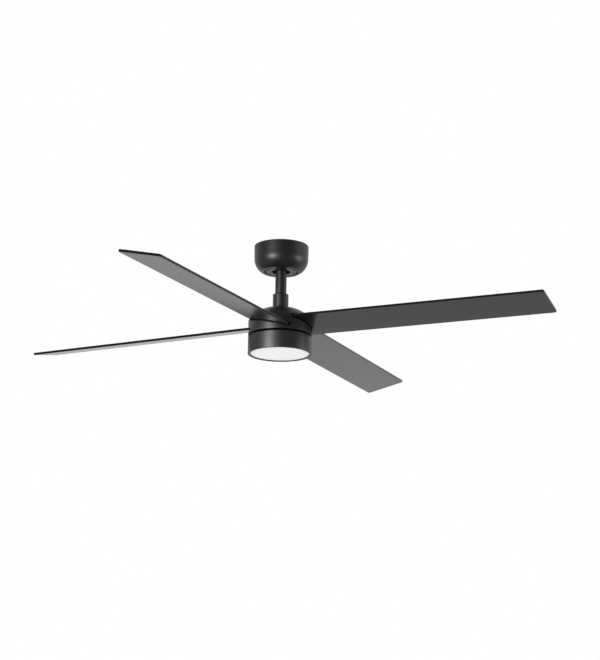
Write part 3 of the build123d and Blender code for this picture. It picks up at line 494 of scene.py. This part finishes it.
# %% A pen for sections
ROUND_STEPS = 160
ORIGIN = (0.0, 0.0, 0.0)
UPWARD = (0.0, 0.0, 1.0)
SIDEWAYS = (1.0, 0.0, 0.0)
MERGE_MM = 0.001
EDGE_STEPS = 3


class Section:
    """A pen in the XZ plane, with x as the radius. All sizes are in millimetres."""

    def __init__(self, radius, height):
        self.mesh = bmesh.new()
        self.start = self.mesh.verts.new((radius * MM, 0.0, height * MM))
        self.tip = self.start

    def line(self, *points):
        """Draw straight to each point in turn."""
        for radius, height in points:
            self.tip = bmesh.ops.extrude_vert_indiv(self.mesh, verts=[self.tip])["verts"][0]
            self.tip.co = (radius * MM, 0.0, height * MM)
        return self

    def arc(self, centre, turn, steps):
        """Swing the tip about a centre by an angle in degrees, positive from outward to upward."""
        swung = bmesh.ops.spin(self.mesh, geom=[self.tip], cent=(centre[0] * MM, 0.0, centre[1] * MM),
                               axis=(0.0, -1.0, 0.0), angle=radians(turn), steps=steps)
        self.tip = next(part for part in swung["geom_last"] if isinstance(part, bmesh.types.BMVert))
        return self

    def close(self):
        """Draw straight back to the start."""
        self.mesh.edges.new((self.tip, self.start))
        return self

    def spun(self):
        """Turn the section all the way round the axis."""
        bmesh.ops.spin(self.mesh, geom=self.mesh.verts[:] + self.mesh.edges[:], cent=ORIGIN,
                       axis=UPWARD, angle=2 * pi, steps=ROUND_STEPS, use_merge=True)
        return tidied(self.mesh)


def tidied(mesh):
    """Merge doubles, then turn the faces outwards."""
    bmesh.ops.remove_doubles(mesh, verts=mesh.verts, dist=MERGE_MM * MM)
    bmesh.ops.recalc_face_normals(mesh, faces=mesh.faces)
    return mesh


def softened(mesh, width, least=40.0):
    """Round the edges that are sharper than an angle in degrees."""
    sharp = [edge for edge in mesh.edges
             if len(edge.link_faces) == 2 and edge.calc_face_angle() > radians(least)]
    bmesh.ops.bevel(mesh, geom=sharp, offset=width * MM, offset_type="OFFSET", affect="EDGES",
                    segments=EDGE_STEPS, profile=0.5, material=-1, clamp_overlap=True)
    return mesh


print("section pen ready,", ROUND_STEPS, "steps round")

# %% [markdown]
# Three helpers turn a mesh into a piece. One makes it an object with smooth faces and sharp edges, hangs it
# on the body it rides on and hides the CAD nodes it stands for. One cuts other meshes out of it or joins
# them to it, with exact Booleans. One makes the round bars that cut the holes.

# %% Putting a piece in the scene
SLIVER_MM = 0.004
SMOOTH_BELOW = 30.0
BAR_STEPS = 48


def placed(name, mesh, finish, slot, body, *nodes):
    """Make the mesh, freed of slivers, an object that rides on a body and stands for CAD nodes."""
    bmesh.ops.dissolve_degenerate(mesh, dist=SLIVER_MM * MM, edges=mesh.edges)
    data = bpy.data.meshes.new(name)
    mesh.to_mesh(data)
    mesh.free()
    data.materials.append(finish.material)
    data.shade_smooth()
    data.set_sharp_from_angle(angle=radians(SMOOTH_BELOW))
    piece = bpy.data.objects.new(name, data)
    bpy.context.collection.objects.link(piece)
    normals = piece.modifiers.new("face weighted normals", "WEIGHTED_NORMAL")
    normals.keep_sharp = True
    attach(piece, body)
    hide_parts(*nodes)
    print(name, "faces", len(data.polygons))
    return piece


def carved(mesh, tools, operation="DIFFERENCE"):
    """Take closed tool meshes out of a closed mesh, or join them to it."""
    blank = bpy.data.meshes.new("blank")
    mesh.to_mesh(blank)
    mesh.free()
    work = bpy.data.objects.new("work", blank)
    bpy.context.collection.objects.link(work)
    holders = []
    for tool in tools:
        shape = bpy.data.meshes.new("tool")
        tool.to_mesh(shape)
        tool.free()
        holder = bpy.data.objects.new("tool", shape)
        bpy.context.collection.objects.link(holder)
        holders.append(holder)
        step = work.modifiers.new("cut", "BOOLEAN")
        step.operation = operation
        step.solver = "EXACT"
        step.object = holder
    result = bmesh.new()
    result.from_object(work, bpy.context.evaluated_depsgraph_get())
    for holder in [work, *holders]:
        bpy.data.objects.remove(holder)
    return result


def drill(radius, centre, direction, length):
    """A round bar to cut a hole with, in millimetres, centred on a point."""
    bar = bmesh.new()
    turn = Vector(direction).to_track_quat("Z", "Y").to_matrix().to_4x4()
    bmesh.ops.create_cone(bar, cap_ends=True, segments=BAR_STEPS, radius1=radius * MM, radius2=radius * MM,
                          depth=length * MM, matrix=Matrix.Translation(Vector(centre) * MM) @ turn)
    return bar


print("piece helpers ready")

# %% [markdown]
# ## Canopy
# The canopy is a pressed steel bowl against the ceiling: a wall that leans in slightly, a large round
# corner and a mouth with a step in it, where a flat flange takes the screws and the cover ring. It is one
# sheet, so the section follows the outside down, steps up into the recess and returns along the inside. A
# Solidify modifier could thicken one line, but it would tilt the rim that lies flat on the ceiling. The
# flat lip is wider and a millimetre higher than the CAD node's, as the photograph shows it.

# %% Canopy shell
def outer_radius(node):
    """How far a round CAD node reaches from the axis, in millimetres."""
    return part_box(node)[1].x / MM


def heights(node):
    """The bottom and top of a CAD node, in millimetres."""
    low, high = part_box(node)
    return low.z / MM, high.z / MM


CANOPY_SHEET = 1.2
CANOPY_LEAN = 0.7
CANOPY_WALL_Z = -31.0
CANOPY_CORNER_R = 36.0
MOUTH_RISE = 1.0
RECESS_R = 39.7
FLANGE_Z = -55.6
FLANGE_HOLE_R = 22.0
FLANGE_CUT = 10.0
CANOPY_SCREW_X = 31.0
SCREW_HOLE_R = 2.05
CORNER_STEPS = 18

rim_r = outer_radius("canopy")
wall_r = rim_r - CANOPY_LEAN
canopy_bottom, ceiling_z = heights("canopy")
lip_z = canopy_bottom + MOUTH_RISE
corner = (wall_r - CANOPY_CORNER_R, CANOPY_WALL_Z)
recess_back = RECESS_R + CANOPY_SHEET
outside_turn = degrees(asin((corner[1] - lip_z) / CANOPY_CORNER_R))
inside_z = lip_z + CANOPY_SHEET
inside_turn = degrees(asin((corner[1] - inside_z) / (CANOPY_CORNER_R - CANOPY_SHEET)))
inside_r = corner[0] + (CANOPY_CORNER_R - CANOPY_SHEET) * cos(radians(inside_turn))
canopy_section = Section(rim_r, ceiling_z).line((wall_r, CANOPY_WALL_Z))
canopy_section.arc(corner, -outside_turn, CORNER_STEPS)
canopy_section.line((RECESS_R, lip_z), (RECESS_R, FLANGE_Z), (FLANGE_HOLE_R, FLANGE_Z))
canopy_section.line((FLANGE_HOLE_R, FLANGE_Z + CANOPY_SHEET), (recess_back, FLANGE_Z + CANOPY_SHEET))
canopy_section.line((recess_back, inside_z), (inside_r, inside_z)).arc(corner, inside_turn, CORNER_STEPS)
canopy_section.line((rim_r - CANOPY_SHEET, ceiling_z)).close()
canopy_sheet = softened(canopy_section.spun(), width=0.3, least=15.0)
screw_spots = [(side * CANOPY_SCREW_X, 0.0, FLANGE_Z) for side in (1, -1)]
canopy_holes = [drill(SCREW_HOLE_R, spot, UPWARD, FLANGE_CUT) for spot in screw_spots]
canopy_bowl = carved(canopy_sheet, canopy_holes)
placed("canopy_shell", canopy_bowl, metal_coat, "black_metal", "ceiling_mount", "canopy")

# %% [markdown]
# ## Cover ring
# A flat ring snaps into the mouth of the canopy and hides its screws. It sits a little above the lip,
# with a narrow dark groove round it. Three short ribs on its skirt hold it in the recess. The ring is
# spun like the canopy. A rib isn't a full turn, so it is one upright face, swung a few degrees and joined
# to the skirt.

# %% Ring and ribs
RING_R = 36.6
RING_HOLE_R = 21.2
RING_PLATE = 1.6
RING_WALL = 1.4
RIB_SPAN = 9.3
THIRDS = (0.0, 120.0, 240.0)
WEDGE_STEPS = 8


def wedge(inner, outer, bottom, top, middle, span):
    """A slice of an upright ring about an azimuth in degrees: one upright face, swung about the axis."""
    slice_mesh = bmesh.new()
    corners = [(inner, bottom), (outer, bottom), (outer, top), (inner, top)]
    face = slice_mesh.faces.new([slice_mesh.verts.new((r * MM, 0.0, z * MM)) for r, z in corners])
    start = Matrix.Rotation(radians(middle - span / 2), 3, "Z")
    bmesh.ops.rotate(slice_mesh, verts=slice_mesh.verts, cent=ORIGIN, matrix=start)
    bmesh.ops.spin(slice_mesh, geom=[face], cent=ORIGIN, axis=UPWARD, angle=radians(span),
                   steps=WEDGE_STEPS)
    return tidied(slice_mesh)


ring_bottom, ring_top = heights("canopy_ring")
ring_face = ring_bottom + MOUTH_RISE
ring_section = Section(RING_HOLE_R, ring_face).line((RING_R, ring_face), (RING_R, ring_top))
ring_section.line((RING_R - RING_WALL, ring_top), (RING_R - RING_WALL, ring_face + RING_PLATE))
ring_section.line((RING_HOLE_R, ring_face + RING_PLATE)).close()
rib_bottom = ring_face + 2 * RING_PLATE
ribs = [wedge(RING_R - RING_WALL, RECESS_R, rib_bottom, ring_top, turn, RIB_SPAN) for turn in THIRDS]
cover_ring = carved(softened(ring_section.spun(), width=0.2), ribs, "UNION")
placed("cover_ring", cover_ring, metal_coat, "black_metal", "ceiling_mount", "canopy_ring")

# %% [markdown]
# ## Rod and coupling cover
# The rod is a steel tube with cross holes for its two pins. Below, a thin turned cover with a conical top
# hides the coupling between the rod and the motor shaft. Both are plain spins. The cross holes run
# sideways, which no section can show, so round bars cut them.

# %% Rod
ROD_WALL = 2.0
PIN_HOLE_R = 3.05
PIN_HEIGHTS = (-27.0, -133.0)

rod_r = outer_radius("downrod")
rod_bottom, rod_top = heights("downrod")
rod_section = Section(rod_r, rod_top).line((rod_r, rod_bottom), (rod_r - ROD_WALL, rod_bottom))
rod_section.line((rod_r - ROD_WALL, rod_top)).close()
pin_holes = [drill(PIN_HOLE_R, (0.0, 0.0, pin_z), SIDEWAYS, 4 * rod_r) for pin_z in PIN_HEIGHTS]
rod = carved(softened(rod_section.spun(), width=0.4), pin_holes)
placed("rod", rod, metal_coat, "black_metal", "hanging_stem", "downrod")

# %% Coupling cover
COVER_WALL = 0.9
COVER_CONE_W = 4.6
COVER_CONE_H = 2.4
COVER_ROD_GAP = 0.2

cover_hole_r = rod_r + COVER_ROD_GAP
cover_r = outer_radius("coupling_cover")
cover_bottom, cover_top = heights("coupling_cover")
cone_foot = cover_top - COVER_CONE_H
cover_in = cover_r - COVER_WALL
cone_top_r = cover_r - COVER_CONE_W + COVER_WALL / 2
cover_section = Section(cover_hole_r, cover_top).line((cone_top_r, cover_top), (cover_r, cone_foot))
cover_section.line((cover_r, cover_bottom), (cover_in, cover_bottom), (cover_in, cone_foot - COVER_WALL))
cover_section.line((cover_hole_r, cover_top - 2 * COVER_WALL)).close()
coupling_sleeve = softened(cover_section.spun(), width=0.4, least=20.0)
placed("coupling_sleeve", coupling_sleeve, metal_coat, "black_metal", "hanging_stem", "coupling_cover")

# %% [markdown]
# ## Blades
# A blade is a flat board with small round corners at its tip and softened rims. It is drawn flat along
# its own axes, then turned to its pitch, its slight droop and its place round the axis in one matrix. The
# same matrix places the slot that the housing needs for it.

# %% A blade's axes
BLADE_COUNT = 4
FIRST_AZIMUTH = -25.9
BLADE_ROOT = 50.0
BLADE_TIP = 656.0
BLADE_CHORD = 101.6
BLADE_THICKNESS = 5.8
BLADE_PITCH = 12.8
BLADE_DROOP = 0.6
BLADE_Z = -195.3
BLADE_CORNER_R = 4.5
BLADE_EDGE_R = 1.0
BLADE_SCREWS = ((57.0, -27.0), (62.0, 0.0), (57.0, 27.0))
BLADE_HOLE_CUT = 80.0
NEARLY_ALL = 0.999
FACING_UP_OR_DOWN = 0.9


def blade_turn(index):
    """The turn from the X axis to a blade's place round the fan."""
    return Matrix.Rotation(radians(FIRST_AZIMUTH + 360.0 / BLADE_COUNT * index), 4, "Z")


def blade_axes(index):
    """From a blade's own axes, x out along it and z out of its top, to the fan's."""
    droop = Matrix.Rotation(radians(BLADE_DROOP), 4, "Y")
    pitch = Matrix.Rotation(radians(-BLADE_PITCH), 4, "X")
    return Matrix.Translation((0.0, 0.0, BLADE_Z * MM)) @ blade_turn(index) @ droop @ pitch


def flat_board(start, end, width, thickness):
    """A flat board along X, centred on it in width and thickness."""
    plank = bmesh.new()
    bmesh.ops.create_cube(plank, size=1.0)
    bmesh.ops.scale(plank, vec=Vector((end - start, width, thickness)) * MM, verts=plank.verts)
    bmesh.ops.translate(plank, vec=((start + end) / 2 * MM, 0.0, 0.0), verts=plank.verts)
    return plank


def along(edge, axis):
    """Whether an edge runs along the axis of that number."""
    run = edge.verts[1].co - edge.verts[0].co
    return abs(run[axis]) > NEARLY_ALL * run.length


def rounded(mesh, edges, radius, steps):
    """Round some edges to a radius."""
    bmesh.ops.bevel(mesh, geom=edges, offset=radius * MM, offset_type="OFFSET", affect="EDGES",
                    segments=steps, profile=0.5, material=-1)


first_tip = blade_axes(0) @ Vector((BLADE_TIP * MM, 0.0, 0.0))
print("tip of blade 1 in mm:", [round(part / MM) for part in first_tip])

# %% Four blades
blade_pieces = []
for index in range(BLADE_COUNT):
    plank = flat_board(BLADE_ROOT, BLADE_TIP, BLADE_CHORD, BLADE_THICKNESS)
    middle = (BLADE_ROOT + BLADE_TIP) / 2 * MM
    tip_corners = [edge for edge in plank.edges if along(edge, 2) and edge.verts[0].co.x > middle]
    rounded(plank, tip_corners, BLADE_CORNER_R, steps=8)
    faces = [face for face in plank.faces if abs(face.normal.z) > FACING_UP_OR_DOWN]
    rims = {edge for face in faces for edge in face.edges}
    rounded(plank, list(rims), BLADE_EDGE_R, steps=4)
    bmesh.ops.transform(plank, matrix=blade_axes(index), verts=plank.verts)
    spots = [blade_turn(index) @ Vector((out, aside, BLADE_Z)) for out, aside in BLADE_SCREWS]
    holes = [drill(SCREW_HOLE_R, spot, UPWARD, BLADE_HOLE_CUT) for spot in spots]
    blade_name = f"blade_{index + 1}"
    blade = carved(plank, holes)
    blade_pieces.append(placed(f"{blade_name}_board", blade, blade_coat, "black_blade", "rotor", blade_name))

# %% [markdown]
# The blades get their greys from the backdrop. On a set, flags would keep the soft lights off them,
# because the glare on their rims looks rough from behind. Light linking does the same here: the blades
# are left out of what those lights reach.

# %% Flags for the soft lights
flagged = bpy.data.collections.new("flagged_blades")
for piece in blade_pieces:
    flagged.objects.link(piece)
for entry in flagged.collection_objects:
    entry.light_linking.link_state = "EXCLUDE"
for light in (left_light, right_light):
    light.light_linking.receiver_collection = flagged

# %% [markdown]
# ## Rotor housing
# The housing is the fan's hardest shape: a dome that runs through a round shoulder into an upright wall,
# cut by four slots that lean with the blades. A subdivided sphere would only come near it, so the spin
# makes the shell from two arcs that touch. Each slot is a long bar with round sides, cut along its blade.

# %% Dome, shoulder and wall
HOUSING_SHEET = 1.5
DOME_FLAT_R = 20.0
DOME_ARC_R = 65.3
SHOULDER_R = 9.0
NECK_HOLE_R = 13.95
DOME_STEPS = 26
SHOULDER_STEPS = 10

housing_r = outer_radius("rotor_housing")
housing_bottom, housing_top = heights("rotor_housing")
dome = (DOME_FLAT_R, housing_top - DOME_ARC_R)
shoulder_x = housing_r - SHOULDER_R
shoulder_rise = sqrt((DOME_ARC_R - SHOULDER_R) ** 2 - (shoulder_x - dome[0]) ** 2)
shoulder = (shoulder_x, dome[1] + shoulder_rise)
shoulder_turn = degrees(atan2(shoulder_rise, shoulder_x - dome[0]))
housing_in = housing_r - HOUSING_SHEET
housing_section = Section(NECK_HOLE_R, housing_top).line((DOME_FLAT_R, housing_top))
housing_section.arc(dome, shoulder_turn - 90.0, DOME_STEPS).arc(shoulder, -shoulder_turn, SHOULDER_STEPS)
housing_section.line((housing_r, housing_bottom), (housing_in, housing_bottom), (housing_in, shoulder[1]))
housing_section.arc(shoulder, shoulder_turn, SHOULDER_STEPS).arc(dome, 90.0 - shoulder_turn, DOME_STEPS)
housing_section.line((NECK_HOLE_R, housing_top - HOUSING_SHEET)).close()
housing_shell = softened(housing_section.spun(), width=0.7)
print("housing shell faces", len(housing_shell.faces))

# %% Slots for the blades
SLOT_END_GAP = 3.2
SLOT_FACE_GAP = 2.5
SLOT_PAST_ROOT = 10.0
SLOT_PAST_WALL = 40.0
HALF_ROUND_SHORT = 0.01

slot_width = BLADE_CHORD + 2 * SLOT_END_GAP
slot_height = BLADE_THICKNESS + 2 * SLOT_FACE_GAP
slots = []
for index in range(BLADE_COUNT):
    bar = flat_board(BLADE_ROOT - SLOT_PAST_ROOT, housing_r + SLOT_PAST_WALL, slot_width, slot_height)
    long_edges = [edge for edge in bar.edges if along(edge, 0)]
    rounded(bar, long_edges, slot_height / 2 - HALF_ROUND_SHORT, steps=8)
    bmesh.ops.transform(bar, matrix=blade_axes(index), verts=bar.verts)
    slots.append(tidied(bar))
domed_housing = carved(housing_shell, slots)
placed("domed_housing", domed_housing, metal_coat, "black_metal", "rotor", "rotor_housing")

# %% [markdown]
# ## Light drum and its opal cover
# Below the rotor a plain drum holds the light. Its lower rim turns in to frame the opal cover. Three pegs
# on the drum's inner wall hold the cover: its skirt has an L-shaped slot for each, open at the top, so it
# goes up, twists and hangs. From below neither shows, and the rim stays an unbroken circle. Drum and
# cover are spins, the pegs are bars joined to the drum, and two short wedges cut each slot.

# %% Drum
DRUM_SHEET = 1.7
DRUM_HOLE_R = 8.05
DRUM_RIM_R = 69.0
DRUM_RIM_HEIGHT = 3.6

drum_r = outer_radius("light_housing")
drum_bottom, drum_top = heights("light_housing")
drum_in = drum_r - DRUM_SHEET
rim_top = drum_bottom + DRUM_RIM_HEIGHT
drum_section = Section(DRUM_HOLE_R, drum_top).line((drum_r, drum_top), (drum_r, drum_bottom))
drum_section.line((DRUM_RIM_R, drum_bottom), (DRUM_RIM_R, rim_top), (drum_in, rim_top))
drum_section.line((drum_in, drum_top - DRUM_SHEET), (DRUM_HOLE_R, drum_top - DRUM_SHEET)).close()
drum_shell = softened(drum_section.spun(), width=0.7)
print("drum shell faces", len(drum_shell.faces))

# %% Pegs on the drum's inner wall
PEG_R = 1.5
PEG_TIP_R = 65.0
PEG_Z = -255.6

peg_root_r = drum_in + DRUM_SHEET / 2
peg_middle_r = (PEG_TIP_R + peg_root_r) / 2
pegs = []
for turn in THIRDS:
    outward = Matrix.Rotation(radians(turn), 3, "Z") @ Vector(SIDEWAYS)
    peg_centre = outward * peg_middle_r + Vector((0.0, 0.0, PEG_Z))
    pegs.append(drill(PEG_R, peg_centre, outward, peg_root_r - PEG_TIP_R))
light_drum = carved(drum_shell, pegs, "UNION")
placed("light_drum", light_drum, metal_coat, "black_metal", "hanging_stem", "light_housing")

# %% Opal cover
OPAL_FACE_R = 68.6
OPAL_FACE_T = 2.0
SKIRT_R = 67.5
SKIRT_WALL = 2.0

face_z, skirt_top = heights("diffuser")
face_back = face_z + OPAL_FACE_T
skirt_in = SKIRT_R - SKIRT_WALL
opal_section = Section(0.0, face_z).line((OPAL_FACE_R, face_z), (OPAL_FACE_R, face_back))
opal_section.line((SKIRT_R, face_back), (SKIRT_R, skirt_top), (skirt_in, skirt_top), (skirt_in, face_back))
opal_section.line((0.0, face_back))
opal_cup = softened(opal_section.spun(), width=0.5)
print("opal cup faces", len(opal_cup.faces))

# %% Slots in the skirt
PEG_GAP = 0.3
TWIST = 22.0
CUT_PAST = 1.0

slot_low = PEG_Z - PEG_R - PEG_GAP
slot_high = PEG_Z + PEG_R + PEG_GAP
slot_half = degrees((PEG_R + PEG_GAP) / SKIRT_R)
slot_in = skirt_in - CUT_PAST
slot_out = SKIRT_R + CUT_PAST
bayonets = []
for turn in THIRDS:
    run_middle = turn + TWIST / 2
    bayonets.append(wedge(slot_in, slot_out, slot_low, slot_high, run_middle, TWIST + 2 * slot_half))
    bayonets.append(wedge(slot_in, slot_out, slot_low, skirt_top + CUT_PAST, turn + TWIST, 2 * slot_half))
placed("opal_cover", carved(opal_cup, bayonets), opal, "opal", "diffuser", "diffuser")
